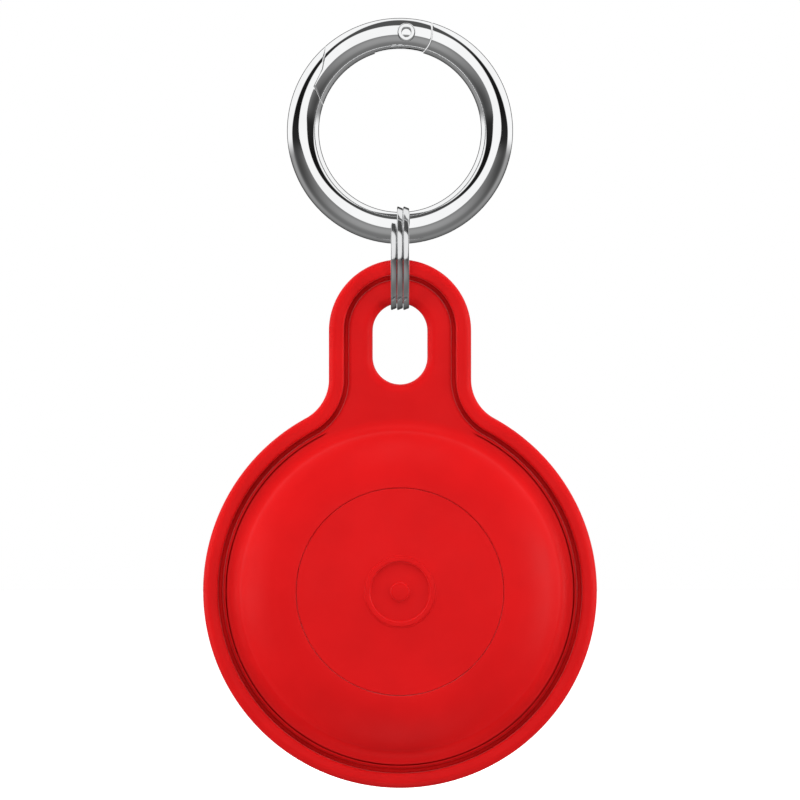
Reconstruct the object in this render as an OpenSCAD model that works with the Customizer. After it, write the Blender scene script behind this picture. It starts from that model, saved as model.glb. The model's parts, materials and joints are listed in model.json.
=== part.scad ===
// Bluetooth tracker tag: a soft two-shell case around a round tracker, hung by a
// split ring from a spring-gate ring. Millimetres, +Z up, front face towards -Y.
// The origin is the crown of the gate ring's inner edge, where a strap or hook carries it.

/* [Gate ring] */
// Outer diameter of the gate ring
ring_od = 24; // [23:0.5:25]
// Diameter of the ring's round section
wire_d = 3.4; // [3.2:0.1:3.6]
// Gap left at the gate's seams
seam_gap = 0.1; // [0.06:0.02:0.16]

/* [Split ring] */
// Inner diameter of the split ring
link_id = 10; // [9.98:0.01:10.02]
// Radial thickness of its flat wire
link_t = 0.5; // [0.4:0.05:0.7]
// Turns of wire
link_turns = 2.5; // [2.25:0.25:2.5]

/* [Case] */
// Diameter of the round body
body_d = 41.8; // [41:0.1:43]
// Width of the hanging tab
tab_w = 15.1; // [14.5:0.1:16]
// Distance from the body's centre to the centre of the tab's round end
tab_y = 27.65; // [27:0.05:29]
// Radius of the fillet between the tab and the body
fillet_r = 4.7; // [4:0.1:6]
// Width of the slot through the tab
slot_w = 5.8; // [5.8:0.1:6]
// Straight length of the slot
slot_run = 2.8; // [2:0.1:3.5]
// Width of the rim round the edge
rim_w = 1.6; // [1.4:0.1:1.8]
// Thickness of the rim
rim_t = 4; // [3.8:0.1:4.2]
// Thickness of the two plates inside the rim
plate_t = 3; // [2.8:0.1:3.2]
// Thickness of the case across both domes
case_t = 11.2; // [11.2:0.1:11.6]
// Diameter of each dome at its foot
dome_d = 34.4; // [34.4:0.1:35]
// Diameter of the press disc's opening
disc_d = 22; // [21.6:0.1:22]

/* [Tracker] */
// Diameter of the tracker inside the case
core_d = 31.8; // [31.6:0.1:31.9]
// Diameter of the coin cell
cell_d = 20; // [19.8:0.1:20]
// Thickness of the coin cell
cell_t = 3.2; // [3:0.1:3.2]
// Travel of the press disc
press_travel = 0.4; // [0.2:0.05:0.4]

/* [Hidden] */
$fn = 96;
eps = 0.01;
slack = 0.05;           // gap between pieces that sit still against each other

// Gate ring
wire_r = wire_d / 2;
ring_r = (ring_od - wire_d) / 2;              // radius of the ring's centreline
ring_z = -(ring_od / 2 - wire_d);             // height of the ring's centre
pivot_angle = 86.3;                           // place of the gate's rivet round the ring
pivot_r = ring_r + 0.15;                      // the rivet sits a little outside the centreline
pivot = pivot_r * [cos(pivot_angle), sin(pivot_angle)];
hinge_x = 3.4;                                // upright top of the seam beside the rivet
ear_r = hinge_x - pivot[0];                   // the seam follows a circle round the rivet below it
channel_w = 1.7;                              // slot in the gate that holds tang and spring
channel_r = ring_r + 1.02;                    // outer wall of that slot
channel_end = 108;                            // angle where the slot stops short of the nose
tang_r = 0.82;                                // round end of the body's hinge tang
tang_t = 0.85;                                // thickness of the body's hinge tang
tang_y = 0.35;                                // the tang sits to one side, the spring beside it
pin_r = 0.55;
pin_fit = 0.04;                               // running clearance round the rivet
pin_head_r = 1;
pin_half = 1.75;                              // the rivet stands just proud of the ring
head_t = 0.45;
dimple_r = 0.54;
// The latch seam steps inward half way, so the nose can only swing into the ring
seam = [[-7.74, 10.5], [-7.92, 9.01], [-8.22, 6.51], [-9.14, 4.75], [-8.26, 2.96], [-7.73, 1.88]];

// Gate spring
spring_wire_r = 0.1;
spring_r = 0.7;
spring_turns = 2;
spring_pitch = 0.22;
spring_y = -0.72;                             // where the first turn lies, across the slot
spring_leg_y = 0.05;                          // where the last turn's leg enters the body's shoulder

// Split ring
link_r = link_id / 2;
link_w = 0.62;                                // width of one turn
link_pitch = 0.66;
link_start = 43;                              // height of the wire's front end, in degrees
link_z = -22.12;                              // height of the split ring's centre
link_mid = (link_start + 90) / 360 + 1;       // the turn that passes the bottom at x = 0
link_steps = 60;                              // facets in one turn

// Case
body_r = body_d / 2;
tab_r = tab_w / 2;
slot_r = slot_w / 2;
slot_y = tab_y;                               // the slot's upper end is concentric with the tab's
tag_z = ring_z - 21.2 - tab_y;                // height of the body's centre
fillet_x = tab_r + fillet_r;
fillet_y = sqrt(pow(body_r + fillet_r, 2) - pow(fillet_x, 2));
rim_h = rim_t / 2;
plate_h = plate_t / 2;
case_h = case_t / 2;
dome_r = dome_d / 2;
wall = 1.2;
front_flat_r = 10.95;                         // flat on the front dome
rear_flat_r = 12.4;                           // wider flat on the rear dome, which it rests on
groove_w = 0.5;                               // visible groove between rim and front plate
step_z = 0.7;                                 // the front plate is wider below this
slot_edge_r = 1;                            // rounding of the slot's edges
disc_r = disc_d / 2;
disc_gap = 0.12;
tongue = [17.5, 18.3];                        // radii of the sealing tongue
tongue_h = 0.6;

// Press disc
flange_r = 12.2;
flange_z = [3.8, 4.25];
stem_r = 1.9;
emblem_r = 3.7;
emblem_w = 0.45;
emblem_h = 0.15;
emblem_sink = 0.2;

// Tracker
core_r = core_d / 2;
core_h = 4.3;
core_wall = 0.8;
core_in_r = core_r - core_wall;
recess_r = 12.5;                              // recess in the cover for the disc's flange
recess_z = 3.3;
lap_h = 0.6;                                  // lap joint between cover and base
lap_r = core_r - core_wall / 2;
bay_r = cell_d / 2 + 0.25;
bay_wall_r = bay_r + core_wall;
bay_floor_z = -3.3;                           // ledge that the battery door sits on
board_r = 14.9;
board_z = [0.4, 1.2];
screw_r = 13.2;
screw_angles = [90, 210, 330];
boss_r = 1.3;
cell_z = -3.25;                               // outer face of the coin cell
switch_w = 3.6;
switch_top = 2.0;
plunger_r = 0.8;
plunger_top = 2.6;
door_r = disc_r - disc_gap;
door_face = case_h - 0.1;                     // the door lies just below the flat that it rests on
oring_r = 0.4;
oring_z = -3.95;

// ---------- shared shapes ----------

// Places a shape drawn in the front view (x right, y up, z towards the viewer)
module facing(height) { translate([0, 0, height]) rotate([90, 0, 0]) children(); }
module on_ring() { facing(ring_z) children(); }
module on_tag() { facing(tag_z) children(); }

// Quarter ellipse from a dome's foot to its flat, as points of a lathe profile
function shoulder(flat_r, foot_r, foot_z, top_z) =
    [for (a = [0:6:90]) [flat_r + (foot_r - flat_r) * cos(a), foot_z + (top_z - foot_z) * sin(a)]];

// A solid of revolution under a dome, from z = low up to top_z
module dome(flat_r, foot_r, foot_z, top_z, low)
    rotate_extrude() polygon(concat([[0, low], [foot_r, low]],
        shoulder(flat_r, foot_r, foot_z, top_z), [[0, top_z]]));

// The case's outline, moved inward by d
module outline(d = 0) {
    circle(body_r - d);
    difference() {
        polygon([[0, 0], [fillet_x, fillet_y], [-fillet_x, fillet_y]]);
        for (s = [-1, 1]) translate([s * fillet_x, fillet_y]) circle(fillet_r + d);
    }
    translate([d - tab_r, fillet_y - eps]) square([2 * (tab_r - d), tab_y - fillet_y + eps]);
    translate([0, tab_y]) circle(tab_r - d);
}

module slab(z0, z1) translate([0, 0, z0]) linear_extrude(z1 - z0) children();
module disc(r, z0, z1) translate([0, 0, z0]) cylinder(r = r, h = z1 - z0);
module tube(r0, r1, z0, z1) difference() {
    disc(r1, z0, z1);
    disc(r0, z0 - 1, z1 + 1);
}
module block(x, y, w, d, z0, z1) translate([x - w / 2, y - d / 2, z0]) cube([w, d, z1 - z0]);
module around(angles, r) for (a = angles) rotate(a) translate([r, 0, 0]) children();

// Skin over a list of rings of points, with its two ends closed
module skin(rings) {
    n = len(rings[0]);
    m = len(rings);
    sides = [for (i = [0:m - 2], j = [0:n - 1]) let (k = (j + 1) % n)
        each [[i * n + j, (i + 1) * n + j, (i + 1) * n + k], [i * n + j, (i + 1) * n + k, i * n + k]]];
    ends = [for (j = [1:n - 2]) each [[0, j, j + 1], [(m - 1) * n, (m - 1) * n + j + 1, (m - 1) * n + j]]];
    polyhedron([for (r = rings) each r], concat(sides, ends));
}

// ---------- gate ring ----------

module wire() rotate_extrude() translate([ring_r, 0]) circle(wire_r);

// The part of the front view that the gate covers; gap narrows it at both seams
module gate_zone(gap) linear_extrude(2 * wire_d, center = true) intersection() {
    polygon(concat([[hinge_x - gap, 7], [hinge_x - gap, 13.5], [-6, 13.5]],
        [for (p = seam) p + [gap, 0]], [[-5, 5], [0, 7]]));
    union() {
        translate(pivot) circle(ear_r - gap);
        translate(pivot) square(ring_od);
        translate([pivot[0] - ring_od, 0]) square(ring_od);
    }
}

module tang() {
    // Round the rivet, then along the ring to the shoulder of the body
    translate([0, 0, tang_y - tang_t / 2]) linear_extrude(tang_t) {
        translate(pivot) circle(tang_r);
        intersection() {
            translate([pivot[0], pivot[1] - wire_r]) square([hinge_x - pivot[0] + 1, wire_d]);
            difference() {
                circle(channel_r - slack);
                circle(ring_r - wire_r + 0.35);
            }
        }
    }
}

module ring_body() color("silver") on_ring() difference() {
    union() {
        difference() {
            wire();
            gate_zone(-seam_gap);
        }
        tang();
    }
    translate([pivot[0], pivot[1], -wire_d]) cylinder(r = pin_r + pin_fit / 2, h = 2 * wire_d);
    // Hole for the spring's leg
    translate([hinge_x - 0.5, pivot[1] + spring_leg_y, spring_y + spring_turns * spring_pitch])
        rotate([0, 90, 0]) cylinder(r = 0.2, h = 1);
}

module gate() color("silver") on_ring() difference() {
    intersection() {
        wire();
        gate_zone(seam_gap);
    }
    // Slot for the tang and the spring, open towards the ring's centre
    rotate([0, 0, 50]) rotate_extrude(angle = channel_end - 50)
        translate([ring_r - wire_d, -channel_w / 2]) square([channel_r - ring_r + wire_d, channel_w]);
    translate([pivot[0], pivot[1], -wire_d]) cylinder(r = pin_r + pin_fit, h = 2 * wire_d);
    for (s = [-1, 1]) translate([pivot[0], pivot[1], s * (pin_half - head_t - 0.03 + wire_r)])
        cylinder(r = pin_head_r + pin_fit, h = 2 * wire_r, center = true);
}

module gate_pin() color("gainsboro") on_ring() translate([pivot[0], pivot[1], 0]) difference() {
    union() {
        disc(pin_r, -pin_half, pin_half);
        for (s = [-1, 1]) translate([0, 0, s * (pin_half - head_t / 2)])
            cylinder(r = pin_head_r, h = head_t, center = true);
    }
    // Rolled ends leave a dimple
    for (s = [-1, 1]) translate([0, 0, s * (pin_half + 0.1)]) sphere(dimple_r);
}

// Torsion spring: one leg bears on the gate's outer wall, the other sits in a hole in the body's shoulder
module gate_spring() {
    left = 3.4;
    right = 3;
    coil = [for (a = [90:15:90 + 360 * spring_turns])
        [spring_r * cos(a), spring_r * sin(a), spring_y + spring_pitch * (a - 90) / 360]];
    last = coil[len(coil) - 1];
    path = concat([[-left, 0.25, spring_y]], coil, [[right, spring_leg_y, last[2]]]);
    n = len(path);
    sides = 8;
    rings = [for (i = [0:n - 1]) let (
            d = path[min(i + 1, n - 1)] - path[max(i - 1, 0)],
            t = d / norm(d),
            u = cross([0, 0, 1], t) / norm(cross([0, 0, 1], t)),
            v = cross(t, u))
        [for (k = [0:sides - 1]) path[i]
            + spring_wire_r * (u * cos(360 * k / sides) + v * sin(360 * k / sides))]];
    color("dimgray") on_ring() translate([pivot[0], pivot[1], 0]) skin(rings);
}

// ---------- split ring ----------

module split_ring() {
    rings = [for (i = [0:round(link_turns * link_steps)]) let (
            turn = i / link_steps,
            a = link_start - 360 * turn,
            x = link_pitch * (turn - link_mid))
        [for (c = [[-1, 0], [1, 0], [1, 1], [-1, 1]]) let (r = link_r + c[1] * link_t)
            [x + c[0] * link_w / 2, -r * cos(a), r * sin(a)]]];
    color("silver") translate([0, 0, link_z]) skin(rings);
}

// ---------- case ----------

// Slot through the tab, with its edges rounded on both faces
module slot_cut() {
    flat = plate_h - slot_edge_r;
    for (y = [slot_y, slot_y - slot_run]) translate([0, y, 0]) rotate_extrude() slot_profile(flat);
    for (s = [0, 180]) translate([0, slot_y - slot_run / 2, 0]) rotate([90, 0, s])
        linear_extrude(slot_run, center = true) slot_profile(flat);
}
module slot_profile(flat) difference() {
    translate([0, -plate_h - eps]) square([slot_r + slot_edge_r, plate_t + 2 * eps]);
    for (s = [-1, 1]) translate([slot_r + slot_edge_r, s * flat]) circle(slot_edge_r);
    translate([slot_r, -flat]) square([slot_edge_r + 1, 2 * flat]);
}

// Room inside the domes for the tracker
module core_room() {
    dome(front_flat_r, core_r + 0.1, plate_h, case_h - wall, -eps);
    mirror([0, 0, 1]) dome(rear_flat_r, core_r + 0.1, plate_h, case_h - wall, -eps);
}

module case_front() color("red") on_tag() difference() {
    union() {
        slab(0.03, step_z) outline(rim_w + slack);
        slab(step_z - eps, plate_h) outline(rim_w + groove_w);
        dome(front_flat_r, dome_r, plate_h, case_h, 0.5);
        tube(tongue[0] + slack, tongue[1] - slack, slack - tongue_h, 0.5);
    }
    core_room();
    disc(disc_r, 0, case_h + 1);
    slot_cut();
}

module case_rear() color("red") on_tag() difference() {
    union() {
        difference() {
            slab(-rim_h, rim_h) outline();
            slab(0, rim_h + 1) outline(rim_w);
            slab(-rim_h - 1, -plate_h) outline(rim_w);
        }
        mirror([0, 0, 1]) dome(rear_flat_r, dome_r, plate_h, case_h, 0.5);
    }
    core_room();
    tube(tongue[0], tongue[1], -tongue_h, 1);
    disc(disc_r, -case_h - 1, 0);
    // Notch for a coin or fingernail under the door's edge
    translate([0, -disc_r - 0.2, -case_h - eps]) cylinder(r = 1.5, h = 0.9);
    slot_cut();
}

// Press disc, flush in the front dome, with a plain raised ring and dot
module press_disc() color("red") on_tag() {
    difference() {
        union() {
            disc(disc_r - disc_gap, flange_z[0], case_h);
            disc(flange_r, flange_z[0], flange_z[1]);
            disc(stem_r, plunger_top + 0.02, flange_z[0] + eps);
        }
        disc(emblem_r, case_h - emblem_sink, case_h + 1);
    }
    tube(emblem_r - emblem_w, emblem_r + eps, case_h - emblem_sink - eps, case_h + emblem_h);
    disc(0.9, case_h - emblem_sink - eps, case_h + emblem_h);
}

// ---------- tracker ----------

module core_cover() color("white") on_tag() difference() {
    dome(front_flat_r, core_r, plate_h, core_h, 0.02);
    disc(recess_r, recess_z, core_h + 1);
    // Hollow, with the wall stepping down round the recess
    difference() {
        dome(front_flat_r, core_in_r, plate_h, core_h - core_wall, -1);
        disc(recess_r + core_wall, recess_z - core_wall, core_h);
    }
    disc(lap_r + slack, -1, lap_h + slack);
    disc(stem_r + 0.2, 0, core_h + 1);
}

module core_base() color("white") on_tag() {
    difference() {
        union() {
            mirror([0, 0, 1]) dome(rear_flat_r, core_r, plate_h, core_h, 0);
            disc(lap_r, -eps, lap_h);
        }
        // Ring-shaped pocket round the battery bay
        difference() {
            mirror([0, 0, 1]) dome(rear_flat_r, core_in_r, plate_h, core_h - core_wall, -1);
            disc(bay_wall_r, -core_h, board_z[0] - slack);
            around(screw_angles, screw_r) disc(boss_r, -core_h, board_z[0] - slack);
        }
        disc(bay_r, bay_floor_z - eps, 2);
        disc(disc_r, -core_h - 1, bay_floor_z);
        around(screw_angles, screw_r) disc(0.6, -2.6, 2);
        // Window in the bay's wall for the side contact
        block(bay_wall_r - 0.3, 0, 1.8, 3.4, -2.4, 1);
    }
}

module circuit_board() color("darkgreen") on_tag() difference() {
    disc(board_r, board_z[0], board_z[1]);
    around(screw_angles, screw_r) disc(0.75, 0, 2);
}

module board_screws() color("gray") on_tag() around(screw_angles, screw_r) difference() {
    union() {
        disc(0.58, -2.5, board_z[1] + slack);
        disc(1.05, board_z[1] + 0.02, board_z[1] + 0.55);
    }
    for (a = [0, 90]) rotate(a) block(0, 0, 1.3, 0.28, board_z[1] + 0.3, board_z[1] + 1);
}

module radio_chip() color("black") on_tag() block(-6.6, 4.4, 5, 5, board_z[1] + 0.02, board_z[1] + 0.87);

module radio_shield() color("lightgray") on_tag() difference() {
    block(6.6, 4.4, 7, 6, board_z[1] + 0.02, board_z[1] + 1.1);
    block(6.6, 4.4, 6.6, 5.6, board_z[1], board_z[1] + 0.9);
}

module crystal() color("gold") on_tag() block(-6.6, -0.6, 3.2, 1.5, board_z[1] + 0.02, board_z[1] + 0.72);

module passives() color("tan") on_tag() {
    for (i = [0:6]) block(-9 + 1.1 * i, -4.2, 0.5, 1, board_z[1] + 0.02, board_z[1] + 0.5);
    for (i = [0:4]) block(4 + 1.3 * i, -1.2, 0.6, 1, board_z[1] + 0.02, board_z[1] + 0.5);
}

// Bent strip antenna that stands on the board between two screws
module antenna() color("goldenrod") on_tag() {
    rotate(100) translate([0, 0, board_z[1] + 0.02]) rotate_extrude(angle = 100)
        translate([14.1, 0]) square([0.25, 1]);
}

module switch_body() color("dimgray") on_tag() difference() {
    block(0, 0, switch_w, switch_w, board_z[1] + 0.02, switch_top);
    disc(plunger_r + 0.05, board_z[1] + 0.1, 3);
}

module switch_plunger() color("black") on_tag() disc(plunger_r, 1.75, plunger_top);

module buzzer() color("black") on_tag() difference() {
    block(0, -13, 3.4, 3.4, -1.5, board_z[0] - 0.02);
    translate([0, -13, -1.6]) cylinder(r = 0.5, h = 0.5);
}

// Leaf spring under the board that meets the cell's cap
module contact_negative() color("gold") on_tag() rotate([90, 0, 0]) linear_extrude(3, center = true)
    polygon([[-4, 0.38], [4, 0.38], [4, 0.28], [-1.2, 0.28], [2.2, 0.05], [2.2, -0.03], [-2.2, 0.28],
        [-4, 0.28]]);

// Side spring that reaches through the bay's window to the cell's can
module contact_positive() color("gold") on_tag() {
    block(10.55, 0, 0.9, 2.6, board_z[0] - 0.14, board_z[0] - 0.02);
    block(10.16, 0, 0.12, 2.6, -2, board_z[0] - 0.1);
}

module cell_can() color("silver") on_tag() difference() {
    disc(cell_d / 2, cell_z, cell_z + cell_t - 0.35);
    disc(cell_d / 2 - 0.25, cell_z + 0.25, 3);
}

module cell_seal() color("darkgray") on_tag() tube(8.95, 9.7, cell_z + 1.4, cell_z + cell_t - 0.3);

module cell_cap() color("silver") on_tag() difference() {
    disc(8.9, cell_z + 1.6, cell_z + cell_t);
    disc(8.65, cell_z, cell_z + cell_t - 0.25);
}

module cell_pellet() color("black") on_tag() disc(8.6, cell_z + 0.27, cell_z + cell_t - 0.27);

module battery_door() color("silver") on_tag() difference() {
    disc(door_r, -door_face, bay_floor_z - 0.02);
    disc(door_r - 1.6, -door_face + 1, 0);
    // O-ring groove in the edge
    tube(door_r - 0.72, door_r + 1, oring_z - 0.45, oring_z + 0.45);
}

module door_seal() color("black") on_tag() translate([0, 0, oring_z]) rotate_extrude()
    translate([disc_r - 0.02 - oring_r, 0]) circle(oring_r - 0.02);

ring_body();
gate();
gate_pin();
gate_spring();
split_ring();
case_front();
case_rear();
press_disc();
core_cover();
core_base();
circuit_board();
board_screws();
radio_chip();
radio_shield();
crystal();
passives();
antenna();
switch_body();
switch_plunger();
buzzer();
contact_negative();
contact_positive();
cell_can();
cell_seal();
cell_cap();
cell_pellet();
battery_door();
door_seal();
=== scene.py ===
"""A tracker tag in a soft red case, hung by a split ring from a chrome spring-gate ring.

Shapes are worked out in millimetres in the "front view": x to the right, y up and z towards
the viewer, measured from a piece's own centre. build() turns them into the frame's metres.
"""
import json
import math
import bmesh
import bpy
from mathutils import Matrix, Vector


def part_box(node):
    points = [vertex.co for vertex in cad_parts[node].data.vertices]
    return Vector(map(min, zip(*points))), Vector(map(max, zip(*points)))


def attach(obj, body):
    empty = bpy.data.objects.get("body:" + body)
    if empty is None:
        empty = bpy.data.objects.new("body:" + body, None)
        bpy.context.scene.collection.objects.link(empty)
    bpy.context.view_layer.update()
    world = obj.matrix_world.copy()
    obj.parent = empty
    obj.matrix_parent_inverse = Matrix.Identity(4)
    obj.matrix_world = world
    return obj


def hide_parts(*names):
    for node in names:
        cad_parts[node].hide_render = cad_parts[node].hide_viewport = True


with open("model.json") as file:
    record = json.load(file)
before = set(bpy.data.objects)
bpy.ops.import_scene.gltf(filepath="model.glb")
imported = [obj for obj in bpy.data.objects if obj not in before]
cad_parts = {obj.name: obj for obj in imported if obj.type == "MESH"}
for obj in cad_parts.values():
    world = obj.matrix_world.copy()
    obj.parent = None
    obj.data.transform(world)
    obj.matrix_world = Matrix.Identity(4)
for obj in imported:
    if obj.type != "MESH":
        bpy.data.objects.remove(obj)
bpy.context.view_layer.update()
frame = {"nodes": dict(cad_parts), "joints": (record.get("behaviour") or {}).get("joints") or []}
MM = 0.001
TURN = 2 * math.pi


# ---------- sizes, read from the frame ----------

def box_mm(node):
    low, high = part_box(node)
    return low / MM, high / MM


def joint_mm(name):
    joint = next(j for j in frame["joints"] if j["name"] == name)
    return Vector(joint["pos_m"]) / MM


ring_low, ring_high = box_mm("ring_body")
case_low, case_high = box_mm("case_rear")
disc_low, disc_high = box_mm("press_disc")
door_low, door_high = box_mm("battery_door")

RING_OUT = ring_high.x                          # outer radius of the gate ring
WIRE = ring_high.y                              # radius of its wire
RING = RING_OUT - WIRE                          # radius of its centreline
RING_Z = ring_low.z + RING_OUT                  # height of its centre
PIVOT = (joint_mm("gate_swing").x, joint_mm("gate_swing").z - RING_Z)
TAG_Z = (disc_low.z + disc_high.z) / 2          # height of the case's centre
BODY = case_high.x                              # radius of the round body
TAB = 7.55                                      # radius of the tab's round end
TAB_Y = case_high.z - TAG_Z - TAB               # height of its centre over the case's centre
RIM = -case_low.y                               # half the thickness of the rim
TOP = case_high.y                               # height of each dome
PLATE = 1.5                                     # half the thickness between the two plates
DISC = 11.0                                     # radius of the disc's and the door's opening
FILLET = 4.7
FILLET_X = TAB + FILLET
FILLET_Y = math.sqrt((BODY + FILLET) ** 2 - FILLET_X ** 2)
RIM_W = 1.6                                     # width of the rim
GROOVE = 0.5                                    # width of the groove inside it
GROOVE_FLOOR = 0.7
DOME_FOOT = 17.2
FRONT_FLAT = 10.95
REAR_FLAT = 12.4
WALL = 1.2
ROOM = 16.0                                     # radius of the room for the tracker
SLOT = 2.9                                      # half the width of the slot
SLOT_RUN = 2.8                                  # its straight length
SLOT_EDGE = 1.0
HINGE_GAP = 0.05                                # half the width of each seam
LATCH_GAP = 0.02
HINGE_X = 3.4                                   # upright seam beside the rivet


# ---------- mesh helpers ----------

def build(name, make, height, material, body, slot, *nodes):
    """Runs make(bm) in the front view's millimetres and turns the result into a piece."""
    bm = bmesh.new()
    make(bm)
    for v in bm.verts:
        x, y, z = v.co
        v.co = Vector((x, -z, y + height)) * MM
    bmesh.ops.recalc_face_normals(bm, faces=bm.faces)
    mesh = bpy.data.meshes.new(name)
    bm.to_mesh(mesh)
    bm.free()
    mesh.shade_smooth()
    mesh.set_sharp_from_angle(angle=math.radians(38))
    mesh.materials.append(material)
    piece = bpy.data.objects.new(name, mesh)
    bpy.context.scene.collection.objects.link(piece)
    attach(piece, body)
    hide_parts(*nodes)
    return piece


def verts(bm, points):
    return [bm.verts.new(p) for p in points]


def join(bm, row_a, row_b, closed=True):
    """Faces between two rows of vertices; a row of one vertex is a point."""
    n = max(len(row_a), len(row_b))
    for i in range(n if closed else n - 1):
        k = (i + 1) % n
        if len(row_a) == 1:
            bm.faces.new((row_a[0], row_b[i], row_b[k]))
        elif len(row_b) == 1:
            bm.faces.new((row_a[i], row_a[k], row_b[0]))
        else:
            bm.faces.new((row_a[i], row_a[k], row_b[k], row_b[i]))


def loft(bm, rows):
    for row_a, row_b in zip(rows, rows[1:]):
        join(bm, row_a, row_b)


def arc(cx, cy, r, start, end, steps):
    """Points on an arc, with its angles in degrees."""
    angles = [math.radians(start + (end - start) * i / steps) for i in range(steps + 1)]
    return [(cx + r * math.cos(a), cy + r * math.sin(a)) for a in angles]


def circle_row(bm, r, z, steps=192):
    if r < 1e-6:
        return verts(bm, [(0, 0, z)])
    turns = [TURN * i / steps for i in range(steps)]
    return verts(bm, [(r * math.cos(a), r * math.sin(a), z) for a in turns])


def lathe(bm, profile, steps=192, closed=False):
    """Turns a profile of (radius, z) round the z axis."""
    rows = [circle_row(bm, r, z, steps) for r, z in profile]
    loft(bm, rows)
    if closed:
        join(bm, rows[-1], rows[0])
    return rows


def fill(bm, *loops):
    """Triangles over a flat area bounded by closed loops of vertices."""
    edges = []
    for loop in loops:
        for i, v in enumerate(loop):
            w = loop[(i + 1) % len(loop)]
            edges.append(bm.edges.get((v, w)) or bm.edges.new((v, w)))
    bmesh.ops.triangle_fill(bm, edges=edges, use_beauty=True, use_dissolve=False)


def smooth(t):
    t = min(max(t, 0.0), 1.0)
    return t * t * (3 - 2 * t)


# ---------- gate ring ----------

SEAM = [(-7.74, 10.5), (-7.92, 9.01), (-8.22, 6.51), (-9.14, 4.75), (-8.26, 2.96), (-7.73, 1.88)]
PIVOT_R = math.hypot(*PIVOT)
PIVOT_PHI = math.atan2(PIVOT[1], PIVOT[0])
EAR = HINGE_X - PIVOT[0]
LIP = 0.05                                      # rounding of the ring's cut edges
LIP_STEPS = 3
CHANNEL = 0.85                                  # half the width of the slot in the gate
LIP_REACH = 0.35                                # how near the middle the rolled lip at its back comes
CHANNEL_TOP = 1.02                              # its outer wall, from the ring's centreline
CHANNEL_END = math.radians(108)
SECTION = 96                                    # points round the wire


def hinge_phi(r, gap):
    """Angle of the hinge seam at radius r: upright at first, then round the rivet."""
    phi = math.acos((HINGE_X - gap) / r)
    if r * math.sin(phi) >= PIVOT[1]:
        return phi
    reach = EAR - gap
    return PIVOT_PHI - math.acos((r * r + PIVOT_R ** 2 - reach ** 2) / (2 * r * PIVOT_R))


def latch_phi(r, gap):
    """Angle of the stepped latch seam at radius r."""
    for (x0, y0), (x1, y1) in zip(SEAM, SEAM[1:]):
        x0, x1 = x0 + gap, x1 + gap
        if math.hypot(x0, y0) >= r >= math.hypot(x1, y1):
            low, high = 0.0, 1.0
            for _ in range(30):
                t = (low + high) / 2
                if math.hypot(x0 + (x1 - x0) * t, y0 + (y1 - y0) * t) > r:
                    low = t
                else:
                    high = t
            return math.atan2(y0 + (y1 - y0) * low, x0 + (x1 - x0) * low)
    raise ValueError(f"radius {r} is off the latch seam")


def ring_point(rho, z, phi):
    r = RING + rho
    return (r * math.cos(phi), r * math.sin(phi), z)


def lips():
    """(distance from the cut, shrink of the section) for each row of a rounded cut edge."""
    angles = [math.pi / 2 * i / LIP_STEPS for i in range(LIP_STEPS + 1)]
    return [(LIP * (1 - math.sin(a)), LIP * (1 - math.cos(a))) for a in angles]


def wire_row(bm, angles, place, shrink=0.0):
    """A row of points round the wire; place(radius) gives each one's angle round the ring."""
    row = []
    for v in angles:
        rho = (WIRE - shrink) * math.cos(v)
        row.append(bm.verts.new(ring_point(rho, (WIRE - shrink) * math.sin(v), place(RING + rho))))
    return row


def cap_wire(bm, row):
    """Closes a whole section with strips that run straight through the ring."""
    n = len(row)
    for i in range(n // 2):
        quad = (row[i], row[i + 1], row[(-i - 1) % n], row[-i % n])
        bm.faces.new(tuple(dict.fromkeys(quad)))


def ring_body(bm):
    angles = [TURN * i / SECTION for i in range(SECTION)]
    steps = 420
    rows = [wire_row(bm, angles, lambda r, e=e: latch_phi(r, -LATCH_GAP) + e / r, s)
            for e, s in reversed(lips())]
    cap_wire(bm, rows[0])

    def between(t):
        def place(r):
            start = latch_phi(r, -LATCH_GAP) + LIP / r
            end = TURN + hinge_phi(r, -HINGE_GAP) - LIP / r
            return start + (end - start) * t
        return place

    rows += [wire_row(bm, angles, between(i / steps)) for i in range(1, steps)]
    rows += [wire_row(bm, angles, lambda r, e=e: TURN + hinge_phi(r, -HINGE_GAP) - e / r, s)
             for e, s in lips()]
    loft(bm, rows)
    cap_wire(bm, rows[-1])
    hinge_tang(bm)


def hinge_tang(bm):
    """The flat tongue of the body between the gate's ears."""
    r_out, r_in, r_end, buried = RING + CHANNEL_TOP - 0.06, RING - WIRE + 0.36, 0.8, HINGE_X + 0.8
    z0, z1 = -0.07, 0.77

    def along(r, x_from, x_to):
        a0, a1 = math.degrees(math.acos(x_from / r)), math.degrees(math.acos(x_to / r))
        return arc(0, 0, r, a0, a1, 12)

    outline = along(r_out, buried, PIVOT[0]) + arc(*PIVOT, r_end, 90, 270, 24) + along(r_in, PIVOT[0], buried)
    low, high = (verts(bm, [(x, y, z) for x, y in outline]) for z in (z0, z1))
    join(bm, low, high)
    bm.faces.new(low)
    bm.faces.new(high)


def lip_wall(rho):
    """The back wall's distance from the middle, near it at the lip and out again above that."""
    t = min(max((rho + math.sqrt(WIRE ** 2 - LIP_REACH ** 2) - 0.1) / 0.15, 0), 1)
    return LIP_REACH + (CHANNEL - LIP_REACH) * t * t * (3 - 2 * t)


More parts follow.
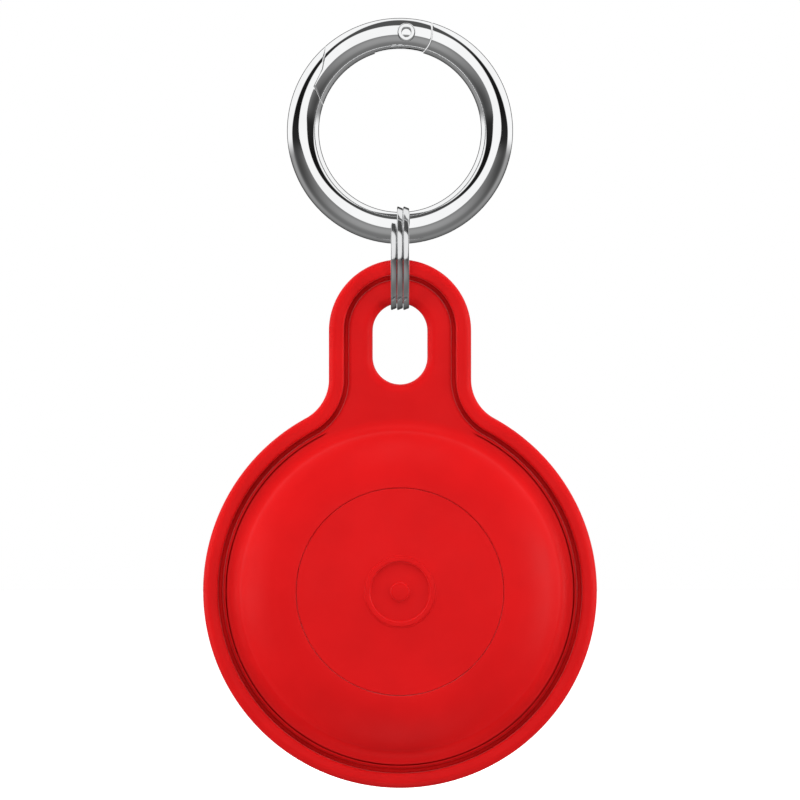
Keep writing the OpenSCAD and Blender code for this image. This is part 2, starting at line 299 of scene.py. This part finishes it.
def gate(bm):
    """The outer skin runs from seam to seam; the channel stops short of the nose."""
    top = math.acos(CHANNEL_TOP / WIRE)
    crown = [top * i / 20 for i in range(20)]
    front, back = ([top + (math.pi - math.asin(edge / WIRE) - top) * i / 30 for i in range(31)]
                   for edge in (CHANNEL, LIP_REACH))
    outer = [-v for v in reversed((crown + back)[1:])] + crown + front
    mouth = [front[-1] + (TURN - back[-1] - front[-1]) * i / 6 for i in range(1, 6)]
    wall_rho, back_rho = ([WIRE * math.cos(v) for v in reversed(row[:-1])] for row in (front, back))
    steps = 150

    def c_row(place, shrink=0.0):
        skin = wire_row(bm, outer, place, shrink)
        up = verts(bm, [ring_point(rho, CHANNEL, place(RING + rho)) for rho in wall_rho])
        down = verts(bm, [ring_point(rho, -lip_wall(rho), place(RING + rho)) for rho in reversed(back_rho)])
        return skin + up + down

    def place_c(t):
        def place(r):
            start = hinge_phi(r, HINGE_GAP) + LIP / r
            return start + (CHANNEL_END - start) * t
        return place

    rows = [c_row(lambda r, e=e: hinge_phi(r, HINGE_GAP) + e / r, s) for e, s in reversed(lips())]
    rows += [c_row(place_c(i / steps)) for i in range(1, steps + 1)]
    loft(bm, rows)
    cap_ear(bm, rows[0], len(outer), len(crown), len(wall_rho))

    # The nose goes on from the channel's end as a whole section
    last = rows[-1]
    turn = len(outer) + len(wall_rho)
    skin, up, down = last[:len(outer)], last[len(outer):turn], last[turn:]
    inner = wire_row(bm, mouth, lambda r: CHANNEL_END)
    walls_up, walls_down = [skin[-1]] + up, [skin[0]] + list(reversed(down))
    join(bm, walls_up, walls_down, closed=False)
    bm.faces.new([skin[-1]] + inner + [skin[0]])
    nose = [skin + inner]
    nose_steps = 40

    def place_nose(t):
        return lambda r: CHANNEL_END + (latch_phi(r, LATCH_GAP) - LIP / r - CHANNEL_END) * t

    whole = outer + mouth
    nose += [wire_row(bm, whole, place_nose(i / nose_steps)) for i in range(1, nose_steps)]
    nose += [wire_row(bm, whole, lambda r, e=e: latch_phi(r, LATCH_GAP) - e / r, s) for e, s in lips()]
    loft(bm, nose)
    tip = nose[-1]
    crest = len(outer) // 2
    cap_wire(bm, tip[crest:] + tip[:crest])


def cap_ear(bm, row, n_outer, n_crown, n_wall):
    """Closes the channelled section at the hinge with strips that run straight through."""
    skin, up, down = row[:n_outer], row[n_outer:n_outer + n_wall], row[n_outer + n_wall:]
    crest = n_outer // 2
    right, left = skin[crest:], list(reversed(skin[:crest + 1]))
    for i in range(n_crown - 1):
        bm.faces.new(tuple(dict.fromkeys((right[i], right[i + 1], left[i + 1], left[i]))))
    bm.faces.new((right[n_crown - 1], right[n_crown], up[-1], down[0], left[n_crown], left[n_crown - 1]))
    for edge, wall in ((right, list(reversed(up))), (left, down)):
        strip = edge[n_crown:]
        wall = wall + [strip[-1]]
        for i in range(len(strip) - 1):
            bm.faces.new(tuple(dict.fromkeys((strip[i], strip[i + 1], wall[i + 1], wall[i]))))


def rivet(bm):
    """Straight shank with a rolled head at each end, dimpled by the riveting punch."""
    shank, head, under, face, dimple, edge, nick = 0.55, 1.0, 1.31, 1.75, 0.5, 0.2, 0.05
    half = [(shank, under), (head - 0.04, under), (head, under + 0.05), (head, face - edge)]
    half += arc(head - edge, face - edge, edge, 0, 90, 7)[1:]
    half += arc(dimple + nick, face - nick, nick, 90, 150, 3)
    half += [(0.47, face - 0.06), (0.35, face - 0.14), (0.23, face - 0.22), (0.13, face - 0.285)]
    half += [(0.08, face - 0.308), (0.04, face - 0.318), (0, face - 0.32)]
    profile = [(r, -z) for r, z in reversed(half)] + half
    rows = lathe(bm, profile, 64)
    for row in rows:
        for v in row:
            v.co.x += PIVOT[0]
            v.co.y += PIVOT[1]


SPRING_R = 0.7                                  # radius of the gate spring's coil
SPRING_WIRE = 0.1                               # radius of its wire
SPRING_PITCH = 0.22
SPRING_Z = -0.72                                # where its coil starts, across the channel
SPRING_ARM = (-3.4, 0.25)                       # end of its arm on the gate, from the pivot
SPRING_LEG = (3.0, 0.05)                        # end of its leg in the body, from the pivot


def wire_along(bm, path, radius=SPRING_WIRE, sides=12):
    """A round wire through the points of a path, closed at both ends."""
    rows = []
    for i, point in enumerate(path):
        ahead, behind = path[min(i + 1, len(path) - 1)], path[max(i - 1, 0)]
        side = Vector((0, 0, 1)).cross(ahead - behind).normalized()
        over = (ahead - behind).normalized().cross(side)
        ring = [point + radius * (side * math.cos(TURN * k / sides) + over * math.sin(TURN * k / sides))
                for k in range(sides)]
        rows.append(verts(bm, [tuple(p) for p in ring]))
    loft(bm, rows)
    bm.faces.new(rows[0])
    bm.faces.new(rows[-1])


def spring_point(a):
    """Point of the gate spring's coil; it starts above the rivet and winds away from the arm."""
    x, y = PIVOT[0] + SPRING_R * math.sin(a), PIVOT[1] + SPRING_R * math.cos(a)
    return Vector((x, y, SPRING_Z + SPRING_PITCH * a / TURN))


def spring_coil(bm):
    """Two turns round the rivet and the leg that sits in the body's shoulder."""
    coil = [spring_point(2 * TURN * i / 96) for i in range(97)]
    leg_end = Vector((PIVOT[0] + SPRING_LEG[0], PIVOT[1] + SPRING_LEG[1], coil[-1].z))
    wire_along(bm, coil + [leg_end])


def spring_arm(bm):
    """The arm that bears on the gate and goes with it, as the coil winds up."""
    arm_end = Vector((PIVOT[0] + SPRING_ARM[0], PIVOT[1] + SPRING_ARM[1], SPRING_Z))
    wire_along(bm, [arm_end] + [spring_point(math.radians(a)) for a in (0, 6, 12, 18, 24)])


# ---------- split ring ----------

def split_ring(bm):
    """Two and a half flat turns; each steps over to the next one behind, out of sight."""
    low, high = box_mm("split_ring")
    r_out = (high.z - low.z) / 2
    thick, wide, pitch, round_r, turns, start, per_turn = 0.5, 0.62, 0.66, 0.11, 2.5, 43, 144
    r_mid = r_out - thick / 2
    slant = 0.16                                # the wire's outer face slopes by this much across it
    section = []
    for cx, cr, a in ((1, 1, 0), (-1, 1, 90), (-1, -1, 180), (1, -1, 270)):
        drop = slant if (cx, cr) == (1, 1) else 0
        section += arc(cx * (wide / 2 - round_r), cr * (thick / 2 - round_r) - drop, round_r, a, a + 90, 4)
    rows = []
    steps = round(turns * per_turn)
    for i in range(steps + 1):
        t = i / per_turn
        a = math.radians(start - 360 * t)
        x = pitch * (sum(smooth((t - k - 0.56) / 0.26) for k in range(2)) - 1)
        ends = min(i, steps - i)
        shrink = (0.8, 0.93, 1.0)[min(ends, 2)]
        rows.append(verts(bm, [(x + cx * shrink, (r_mid + cr * shrink) * math.sin(a),
                                (r_mid + cr * shrink) * math.cos(a)) for cx, cr in section]))
    loft(bm, rows)
    bm.faces.new(rows[0])
    bm.faces.new(rows[-1])


# ---------- case ----------

def outline(d):
    """The case's outline moved inward by d, with the same number of points for every d."""
    a = math.degrees(math.atan2(FILLET_Y, FILLET_X))
    r_body, r_fillet, r_tab = BODY - d, FILLET + d, TAB - d
    run = 8
    points = arc(0, 0, r_body, a, a - 360 + 2 * (90 - a), 260)
    points += arc(-FILLET_X, FILLET_Y, r_fillet, -a, 0, 28)[1:]
    points += [(-r_tab, FILLET_Y + (TAB_Y - FILLET_Y) * i / run) for i in range(1, run)]
    points += arc(0, TAB_Y, r_tab, 180, 0, 72)
    points += [(r_tab, TAB_Y + (FILLET_Y - TAB_Y) * i / run) for i in range(1, run)]
    points += arc(FILLET_X, FILLET_Y, r_fillet, 180, 180 + a, 28)[:-1]
    return points


def stadium(r):
    """The slot's outline at half width r."""
    return arc(0, TAB_Y, r, 0, 180, 40) + arc(0, TAB_Y - SLOT_RUN, r, 180, 360, 40)


def outline_rows(bm, profile):
    return [verts(bm, [(x, y, z) for x, y in outline(d)]) for d, z in profile]


def slot_rows(bm, profile):
    return [verts(bm, [(x, y, z) for x, y in stadium(r)]) for r, z in profile]


def dome_profile(flat, top):
    """(radius, z) from the plate up a soft fillet and over the shoulder to the flat."""
    rise, width, power, steps = top - PLATE, DOME_FOOT - flat, 1.18, 34

    def shoulder(a):
        return flat + width * math.cos(a) ** power, PLATE + rise * math.sin(a) ** power

    a0 = math.asin(0.27)
    r0, z0 = shoulder(a0)
    lean = math.atan(width / rise * math.tan(a0) ** (2 - power))
    ease = (z0 - PLATE) / (1 - math.sin(lean))
    foot = arc(r0 + ease * math.cos(lean), z0 + ease * math.sin(lean), ease,
               270, 180 + math.degrees(lean), 14)
    over = [shoulder(a0 + (math.pi / 2 - a0) * i / steps) for i in range(1, steps)]
    return foot + over + [(flat, top)]


def room_profile(flat, top):
    """(radius, z) of the inside of a dome, from its opening back down to the plate."""
    angles = [math.radians(90 - 9 * i) for i in range(11)]
    return [(flat + (ROOM - flat) * math.cos(a), PLATE + (top - WALL - PLATE) * math.sin(a)) for a in angles]


def rounded_slot(z_plane, z_edge):
    """(half width, z) from the plate over the slot's rounded edge to the parting line."""
    flat = PLATE - SLOT_EDGE
    turn = arc(SLOT + SLOT_EDGE, flat, SLOT_EDGE, 90, 180, 9)
    return [(SLOT + SLOT_EDGE + 0.12, z_plane)] + turn + [(SLOT, z_edge)]


def flip(profile):
    return [(r, -z) for r, z in profile]


def shell(bm, rim, dome, room, slot):
    """A half of the case: the rim's profile, the dome and its room, and the slot through both."""
    edge = outline_rows(bm, rim)
    loft(bm, edge)
    crown = [circle_row(bm, r, z) for r, z in dome + room]
    loft(bm, crown)
    hole = slot_rows(bm, slot)
    loft(bm, hole)
    fill(bm, edge[-1], crown[0], hole[0])
    fill(bm, edge[0], crown[-1], hole[-1])


def case_front(bm):
    gap, soft, corner, parting, lip = 0.01, 0.24, 0.33, 0.03, 0.08
    outer, inner = RIM_W + gap, RIM_W + GROOVE
    rim = [(outer + 0.15, parting), (outer, parting), (outer, GROOVE_FLOOR + soft / 2)]
    rim += arc(outer + soft, GROOVE_FLOOR + soft, soft, 205, 270, 4)
    rim += arc(inner - soft, GROOVE_FLOOR + soft, soft, 270, 360, 5)
    rim += arc(inner + corner, PLATE - corner, corner, 180, 90, 7)
    rim += [(inner + corner + 0.12, PLATE)]
    dome = dome_profile(FRONT_FLAT, TOP)
    dome = [(dome[0][0] + 0.12, PLATE)] + [p for p in dome if p[0] > DISC + lip + 0.02]
    dome += arc(DISC + lip, TOP - lip, lip, 90, 180, 5)
    room = [(DISC, TOP - WALL)] + room_profile(FRONT_FLAT, TOP)[1:] + [(ROOM, parting)]
    shell(bm, rim, dome, room, rounded_slot(PLATE, parting))


def rim_profile():
    """(inset, z) from the parting line up the rim's inner wall, over the bead and round the back."""
    outer, inner, soft = 0.85, 0.3, 0.14
    top = arc(RIM_W - inner, RIM - inner, inner, 0, 90, 6) + arc(outer, RIM - outer, outer, 90, 180, 14)
    return [(RIM_W, 0)] + top + flip(reversed(top[:])) + arc(
        RIM_W + soft, -PLATE - soft, soft, 180, 90, 4) + [(RIM_W + soft + 0.12, -PLATE)]


def case_rear(bm):
    lip = 0.15
    rim = [(RIM_W + 0.12, 0)] + rim_profile()
    dome = dome_profile(REAR_FLAT, TOP)
    dome = [(dome[0][0] + 0.12, PLATE)] + dome + arc(DISC + lip, TOP - lip, lip, 90, 180, 5)
    room = [(DISC, TOP - WALL)] + room_profile(REAR_FLAT, TOP) + [(ROOM, 0)]
    shell(bm, rim, flip(dome), flip(room), flip(rounded_slot(PLATE, 0)))


def press_disc(bm):
    """Flush disc with a hidden flange and stem, and a plain ring and dot raised on its face."""
    r, face, lip = DISC - 0.05, TOP, 0.08
    flange, low, high, stem = 12.2, 3.8, 4.25, 2.62
    mark_out, mark_in, dot = 3.72, 3.2, 0.95
    floor_z, mark_z = face - 0.17, face + 0.13
    profile = [(0, stem), (1.9, stem), (1.9, low), (flange - 0.1, low), (flange, low + 0.1)]
    profile += [(flange, high - 0.1)]
    profile += [(flange - 0.1, high), (r, high)] + arc(r - lip, face - lip, lip, 0, 90, 6)
    profile += arc(mark_out + 0.16, face + 0.12, 0.12, 270, 200, 4)
    profile += arc(mark_out - 0.12, mark_z - 0.12, 0.12, 20, 90, 4)
    profile += arc(mark_in + 0.12, mark_z - 0.12, 0.12, 90, 170, 5)
    profile += arc(mark_in - 0.14, floor_z + 0.12, 0.12, -10, -90, 5)
    profile += arc(dot + 0.14, floor_z + 0.12, 0.12, 270, 190, 4)
    dome_z = mark_z - 0.1
    profile += [(dot * math.cos(a), dome_z + 0.1 * math.sin(a)) for a in (0.1, 0.35, 0.7, 1.05, 1.35)]
    profile += [(0, mark_z)]
    lathe(bm, profile)


def battery_door(bm):
    """Dished steel plug with a chamfered edge, turning marks and a groove for its seal."""
    r, face, inner = -door_low.x, -door_high.y, -door_low.y
    seal, depth = -3.95, 0.72
    profile = [(0, face + 0.1)]
    rings = 12
    for i in range(1, rings):
        ripple = 0.012 if i % 2 else 0.0
        profile.append(((r - 1.5) * i / rings, face + 0.1 + ripple))
    profile += [(r - 1.35, face + 0.1), (r - 1.2, face + 0.03), (r - 1.05, face), (r - 0.25, face)]
    profile += [(r - 0.06, face + 0.1), (r, face + 0.25), (r, seal - 0.45), (r - depth, seal - 0.45)]
    profile += [(r - depth, seal + 0.45), (r, seal + 0.45), (r, inner), (r - 1.6, inner), (r - 1.6, face + 1)]
    profile += [(0, face + 1)]
    lathe(bm, profile)


# ---------- materials ----------

def principled(name, colour, **values):
    """A new material and its tree; values are set straight on the shader's sockets."""
    material = bpy.data.materials.new(name)
    material.use_nodes = True
    shader = material.node_tree.nodes["Principled BSDF"]
    shader.inputs["Base Color"].default_value = (*colour, 1)
    for key, value in values.items():
        shader.inputs[key.replace("_", " ")].default_value = value
    return material, shader


def add(tree, kind, **settings):
    node = tree.nodes.new(kind)
    for key, value in settings.items():
        if hasattr(node, key):
            setattr(node, key, value)
        else:
            node.inputs[key.replace("_", " ")].default_value = value
    return node


def noise(tree, scale, detail=3.0, stretch=None):
    """Noise in the piece's own metres; stretch draws it out along an axis."""
    place = tree.nodes.new("ShaderNodeTexCoord")
    pattern = add(tree, "ShaderNodeTexNoise", Scale=scale, Detail=detail)
    source = place.outputs["Object"]
    if stretch:
        mapping = tree.nodes.new("ShaderNodeMapping")
        mapping.inputs["Scale"].default_value = stretch
        tree.links.new(source, mapping.inputs["Vector"])
        source = mapping.outputs["Vector"]
    tree.links.new(source, pattern.inputs["Vector"])
    return pattern.outputs["Fac"]


def spread(tree, fac, low, high, socket):
    """Runs a 0 to 1 pattern into a socket as low to high."""
    scale = tree.nodes.new("ShaderNodeMapRange")
    scale.inputs["From Min"].default_value = 0.3
    scale.inputs["From Max"].default_value = 0.7
    scale.inputs["To Min"].default_value = low
    scale.inputs["To Max"].default_value = high
    tree.links.new(fac, scale.inputs["Value"])
    tree.links.new(scale.outputs["Result"], socket)


def tint(tree, fac, colour_a, colour_b, socket):
    ramp = tree.nodes.new("ShaderNodeValToRGB")
    ramp.color_ramp.elements[0].position = 0.35
    ramp.color_ramp.elements[0].color = (*colour_a, 1)
    ramp.color_ramp.elements[1].position = 0.65
    ramp.color_ramp.elements[1].color = (*colour_b, 1)
    tree.links.new(fac, ramp.inputs["Fac"])
    tree.links.new(ramp.outputs["Color"], socket)


def roughen(tree, shader, fac, strength, distance):
    bump = tree.nodes.new("ShaderNodeBump")
    bump.inputs["Strength"].default_value = strength
    bump.inputs["Distance"].default_value = distance
    tree.links.new(fac, bump.inputs["Height"])
    tree.links.new(bump.outputs["Normal"], shader.inputs["Normal"])


def silicone():
    """Soft-touch red: satin, with a very fine moulded grain and faint cloudiness."""
    material, shader = principled("red_silicone", (0.7, 0.0068, 0.0078), Specular_IOR_Level=0.12)
    tree = material.node_tree
    tint(tree, noise(tree, 160), (0.675, 0.0064, 0.0074), (0.725, 0.0072, 0.0082),
         shader.inputs["Base Color"])
    spread(tree, noise(tree, 420), 0.4, 0.5, shader.inputs["Roughness"])
    roughen(tree, shader, noise(tree, 9000, 2.0), 0.06, 0.00002)
    return material


def chrome(name, colour, rough):
    """Polished plating with hairline scratches and a trace of handling."""
    material, shader = principled(name, colour, Metallic=1.0)
    tree = material.node_tree
    tint(tree, noise(tree, 300), tuple(c * 0.97 for c in colour), colour, shader.inputs["Base Color"])
    spread(tree, noise(tree, 700, 4.0), rough * 0.6, rough * 1.6, shader.inputs["Roughness"])
    roughen(tree, shader, noise(tree, 2500, 2.0, (1, 1, 0.08)), 0.03, 0.000004)
    return material


def metal(name, colour, rough, stretch=(1, 1, 1)):
    """Drawn, stamped or turned metal with a directional grain."""
    material, shader = principled(name, colour, Metallic=1.0)
    tree = material.node_tree
    grain = noise(tree, 3000, 3.0, stretch)
    tint(tree, grain, tuple(c * 0.88 for c in colour), colour, shader.inputs["Base Color"])
    spread(tree, grain, rough * 0.8, rough * 1.3, shader.inputs["Roughness"])
    roughen(tree, shader, grain, 0.12, 0.00001)
    return material


def turned_steel():
    """Satin steel with fine rings round the tag's axis."""
    colour = (0.56, 0.56, 0.57)
    material, shader = principled("turned_steel", colour, Metallic=1.0)
    tree = material.node_tree
    place = tree.nodes.new("ShaderNodeTexCoord")
    shift = add(tree, "ShaderNodeVectorMath", operation="SUBTRACT")
    shift.inputs[1].default_value = (0, 0, TAG_Z * MM)
    flat = add(tree, "ShaderNodeVectorMath", operation="MULTIPLY")
    flat.inputs[1].default_value = (1, 0, 1)
    radius = add(tree, "ShaderNodeVectorMath", operation="LENGTH")
    pattern = add(tree, "ShaderNodeTexNoise", noise_dimensions="1D", Scale=9000.0, Detail=3.0)
    tree.links.new(place.outputs["Object"], shift.inputs[0])
    tree.links.new(shift.outputs["Vector"], flat.inputs[0])
    tree.links.new(flat.outputs["Vector"], radius.inputs[0])
    tree.links.new(radius.outputs["Value"], pattern.inputs["W"])
    grain = pattern.outputs["Fac"]
    tint(tree, grain, (0.48, 0.48, 0.49), (0.6, 0.6, 0.61), shader.inputs["Base Color"])
    spread(tree, grain, 0.24, 0.38, shader.inputs["Roughness"])
    roughen(tree, shader, grain, 0.2, 0.00001)
    return material


def moulded(name, colour, rough, vary=0.9):
    """Moulded plastic, rubber, laminate or ceramic with a fine mottled skin."""
    material, shader = principled(name, colour)
    tree = material.node_tree
    tint(tree, noise(tree, 500), tuple(c * vary for c in colour), colour, shader.inputs["Base Color"])
    spread(tree, noise(tree, 900), rough * 0.85, min(rough * 1.15, 1.0), shader.inputs["Roughness"])
    roughen(tree, shader, noise(tree, 6000, 2.0), 0.08, 0.00002)
    return material


def board_laminate():
    """Green solder mask with a faint weave and copper lying under it."""
    green, copper_green = (0.012, 0.11, 0.045), (0.03, 0.2, 0.075)
    material, shader = principled("board_laminate", green, Roughness=0.32)
    tree = material.node_tree
    place = tree.nodes.new("ShaderNodeTexCoord")
    bricks = add(tree, "ShaderNodeTexVoronoi", distance="CHEBYCHEV", Scale=420.0)
    tree.links.new(place.outputs["Object"], bricks.inputs["Vector"])
    tint(tree, bricks.outputs["Distance"], green, copper_green, shader.inputs["Base Color"])
    roughen(tree, shader, bricks.outputs["Distance"], 0.1, 0.00002)
    return material


# ---------- the object ----------

red = silicone()
ring_chrome = chrome("ring_chrome", (0.93, 0.935, 0.94), 0.035)
rivet_chrome = chrome("rivet_chrome", (0.9, 0.905, 0.91), 0.05)
link_chrome = chrome("link_chrome", (0.8, 0.805, 0.81), 0.09)
door_steel = turned_steel()

build("ring_body_round", ring_body, RING_Z, ring_chrome, "gate_ring", "gate_ring_chrome", "ring_body")
build("gate_round", gate, RING_Z, ring_chrome, "gate", "gate_ring_chrome", "gate")
build("gate_rivet", rivet, RING_Z, rivet_chrome, "gate_ring", "rivet_chrome", "gate_pin")
link_low, link_high = box_mm("split_ring")
build("split_ring_flat_wire", split_ring, (link_low.z + link_high.z) / 2, link_chrome, "link",
      "split_ring_chrome", "split_ring")
soft_pieces = [
    build("case_front_shell", case_front, TAG_Z, red, "tag", "case_silicone", "case_front"),
    build("case_rear_shell", case_rear, TAG_Z, red, "tag", "case_silicone", "case_rear"),
    build("press_disc_marked", press_disc, TAG_Z, red, "find_button", "press_disc_silicone", "press_disc"),
]
for soft_piece in soft_pieces:
    soft_piece.visible_glossy = False           # the chrome mirrors the studio alone
spring_look = metal("spring_wire", (0.42, 0.42, 0.43), 0.3)
build("gate_spring_coil", spring_coil, RING_Z, spring_look, "gate_ring", "spring_steel", "gate_spring")
build("gate_spring_arm", spring_arm, RING_Z, spring_look, "gate", "spring_steel", "gate_spring")
build("battery_door_turned", battery_door, TAG_Z, door_steel, "battery_door", "door_steel", "battery_door")

INNER_LOOKS = {
    "core_cover": moulded("core_cover_plastic", (0.84, 0.84, 0.82), 0.35, 0.97),
    "core_base": moulded("core_base_plastic", (0.84, 0.84, 0.82), 0.35, 0.97),
    "circuit_board": board_laminate(),
    "board_screws": metal("screw_zinc", (0.5, 0.5, 0.52), 0.3),
    "radio_chip": moulded("chip_epoxy", (0.025, 0.025, 0.027), 0.55),
    "radio_shield": metal("shield_tin", (0.62, 0.62, 0.6), 0.35, (1, 1, 0.05)),
    "crystal": metal("crystal_can", (0.7, 0.64, 0.46), 0.3),
    "passives": moulded("passive_ceramic", (0.42, 0.31, 0.2), 0.45, 0.8),
    "antenna": metal("antenna_gold", (0.8, 0.58, 0.2), 0.28),
    "switch_body": metal("switch_cover", (0.58, 0.58, 0.58), 0.33),
    "switch_plunger": moulded("plunger_nylon", (0.04, 0.04, 0.04), 0.5),
    "buzzer": moulded("buzzer_case", (0.03, 0.03, 0.032), 0.5),
    "contact_negative": metal("contact_gold", (0.83, 0.62, 0.25), 0.3),
    "contact_positive": metal("side_contact_gold", (0.83, 0.62, 0.25), 0.3),
    "cell_can": metal("cell_can_nickel", (0.66, 0.65, 0.62), 0.22, (1, 1, 0.2)),
    "cell_seal": moulded("cell_seal_plastic", (0.2, 0.2, 0.21), 0.5),
    "cell_cap": metal("cell_cap_nickel", (0.66, 0.65, 0.62), 0.25, (1, 1, 0.2)),
    "cell_pellet": moulded("cell_powder", (0.04, 0.04, 0.04), 0.9, 0.6),
    "door_seal": moulded("seal_nitrile", (0.02, 0.02, 0.02), 0.55),
}
for node_name, look in INNER_LOOKS.items():
    for material_slot in frame["nodes"][node_name].material_slots:
        material_slot.material = look
    frame["nodes"][node_name].visible_glossy = False    # or it would show in the chrome through the case


# ---------- floor, light and camera ----------

VIEW_MM = 84.96                                 # height of the view at the object
VIEW_Z = -37.17                                 # height of its middle
DISTANCE = 1.2
FLOOR_Z = case_low.z * MM - 0.03


def pale_floor():
    material, shader = principled("pale_floor", (0.9, 0.9, 0.9), Roughness=0.8, Emission_Strength=0.95)
    shader.inputs["Emission Color"].default_value = (1, 1, 1, 1)
    tree = material.node_tree
    tint(tree, noise(tree, 6), (0.88, 0.88, 0.88), (0.92, 0.92, 0.92), shader.inputs["Base Color"])
    mesh = bpy.data.meshes.new("floor")
    size = 3.0
    corners = [(-size, -size, FLOOR_Z), (size, -size, FLOOR_Z), (size, size, FLOOR_Z), (-size, size, FLOOR_Z)]
    mesh.from_pydata(corners, [], [(0, 1, 2, 3)])
    mesh.materials.append(material)
    floor = bpy.data.objects.new("floor", mesh)
    floor.visible_glossy = False
    floor.visible_diffuse = False
    floor.visible_shadow = False
    bpy.context.scene.collection.objects.link(floor)


def soft_box(name, direction, size, power, distance=1.0):
    """A square area light that shines on the object from a direction, unseen in reflections."""
    middle = Vector((0, 0, VIEW_Z * MM))
    light = bpy.data.lights.new(name, "AREA")
    light.size = size
    light.energy = power
    lamp = bpy.data.objects.new(name, light)
    lamp.location = middle + Vector(direction).normalized() * distance
    lamp.rotation_euler = (middle - lamp.location).to_track_quat("-Z", "Y").to_euler()
    lamp.visible_glossy = False
    bpy.context.scene.collection.objects.link(lamp)


def value_node(tree, kind, sources, **settings):
    """A node with one number out; each source is a number or another node's output."""
    node = add(tree, kind, **settings)
    for socket, source in zip(node.inputs, sources):
        if isinstance(source, (int, float)):
            socket.default_value = source
        else:
            tree.links.new(source, socket)
    return node.outputs[0]


def calc(tree, operation, *sources):
    return value_node(tree, "ShaderNodeMath", sources, operation=operation)


def step_up(tree, value, start, end):
    """0 before start, 1 after end, with a soft change between."""
    return value_node(tree, "ShaderNodeMapRange", (value, start, end), interpolation_type="SMOOTHSTEP")


def curve(tree, value, points):
    """A smooth curve through (input, output) points, both 0 to 1."""
    node = tree.nodes.new("ShaderNodeFloatCurve")
    line = node.mapping.curves[0]
    for x, y in points[1:-1]:
        line.points.new(x, y)
    for point, place in zip(line.points, points):
        point.location = place
    node.mapping.update()
    tree.links.new(value, node.inputs["Value"])
    return node.outputs[0]


def blend(tree, fac, a, b):
    """a where fac is 0 and b where it is 1."""
    return calc(tree, "ADD", calc(tree, "MULTIPLY", a, calc(tree, "SUBTRACT", 1.0, fac)),
                calc(tree, "MULTIPLY", b, fac))


def mirrored_room(tree):
    """What the polished metal shows: a white card in front, black flags beside it, a white room
    behind above the object's height and a grey floor below, and a dark patch straight behind.
    Directions are an angle from the front, as a share of a half turn, and a height, -1 to 1."""
    direction = tree.nodes.new("ShaderNodeTexCoord").outputs["Generated"]
    axes = tree.nodes.new("ShaderNodeSeparateXYZ")
    tree.links.new(direction, axes.inputs[0])
    x, y, z = axes.outputs
    angle = calc(tree, "DIVIDE", calc(tree, "ARCCOSINE", calc(tree, "MULTIPLY", y, -1.0)), math.pi)
    across = calc(tree, "SQRT", calc(tree, "ADD", calc(tree, "MULTIPLY", x, x), calc(tree, "MULTIPLY", z, z)))
    up = calc(tree, "DIVIDE", z, calc(tree, "MAXIMUM", across, 0.001))
    level = calc(tree, "MULTIPLY_ADD", up, 0.5, 0.5)

    card = curve(tree, level, [(0, 0.033), (0.35, 0.044), (0.45, 0.1), (0.5, 0.155), (0.63, 0.19),
                               (0.75, 0.233), (0.86, 0.3), (0.94, 0.35), (1, 0.35)])
    back = curve(tree, level, [(0, 0.48), (0.5, 0.47), (0.63, 0.42), (0.75, 0.41), (0.86, 0.43), (0.94, 0.48),
                               (0.97, 0.54), (1, 0.65)])
    flag = curve(tree, level, [(0, 0.02), (0.5, 0.02), (0.63, 0.008), (0.75, 0.012), (0.86, 0.02),
                               (0.97, 0.08), (1, 0.09)])
    floor_beside = curve(tree, angle, [(0, 0.22), (0.055, 0.2), (0.12, 0.15), (0.25, 0.085), (0.43, 0.085),
                                       (0.5, 0.2), (0.58, 0.33), (0.69, 0.3), (0.8, 0.15), (1, 0.1)])
    floor_under = curve(tree, angle, [(0, 0.2), (0.055, 0.24), (0.12, 0.32), (0.25, 0.31), (0.36, 0.2),
                                      (0.47, 0.175), (0.58, 0.22), (0.69, 0.18), (0.8, 0.12), (1, 0.08)])
    floor = blend(tree, step_up(tree, calc(tree, "MULTIPLY", up, -1.0), 0.3, 1.0), floor_beside, floor_under)
    low = step_up(tree, calc(tree, "MULTIPLY", up, -1.0), 0.03, 0.22)
    on_card = step_up(tree, calc(tree, "SUBTRACT", card, angle), -0.012, 0.012)
    past_flag = step_up(tree, calc(tree, "SUBTRACT", angle, back), -0.015, 0.02)
    room = blend(tree, low, blend(tree, past_flag, flag, 1.0), floor)
    room = blend(tree, on_card, room, 1.0)
    return blend(tree, step_up(tree, angle, 0.79, 0.84), room, 0.06)


def studio():
    """White to the camera, an even pale fill to the soft surfaces and a mirrored room to the metal."""
    world = bpy.data.worlds.new("studio")
    world.use_nodes = True
    tree = world.node_tree
    bpy.context.scene.world = world
    path = tree.nodes.new("ShaderNodeLightPath")
    room = blend(tree, path.outputs["Is Glossy Ray"], ROOM_FILL, mirrored_room(tree))
    seen = blend(tree, path.outputs["Is Camera Ray"], room, 1.0)
    tree.links.new(seen, tree.nodes["Background"].inputs["Color"])


def camera():
    lens = bpy.data.cameras.new("camera")
    lens.sensor_width = 36
    lens.lens = 36 * DISTANCE / (VIEW_MM * MM)
    lens.clip_start = 0.01
    eye = bpy.data.objects.new("camera", lens)
    eye.location = (0, -DISTANCE, VIEW_Z * MM)
    eye.rotation_euler = (math.pi / 2, 0, 0)
    bpy.context.scene.collection.objects.link(eye)
    bpy.context.scene.camera = eye


ROOM_FILL = 0.22
LIGHTS = {
    "side_left": ((-1, -0.12, 0), 0.6, 3.8),
    "side_right": ((1, -0.12, 0), 0.6, 3.8),
    "front_left": ((-1, -0.45, 0), 0.6, 3.7),
    "front_right": ((1, -0.45, 0), 0.6, 3.7),
    "top": ((0, -0.45, 1), 0.6, 6.0),
    "below": ((0, -0.45, -1), 0.6, 2.0),
    "front": ((0, -1, 0), 0.6, 1.2),
    "behind": ((0, 1, 0.5), 0.8, 4.0),
}
pale_floor()
studio()
for light_name, (towards, width, power) in LIGHTS.items():
    soft_box(light_name, towards, width, power)
camera()
bpy.context.scene.view_settings.view_transform = "Standard"
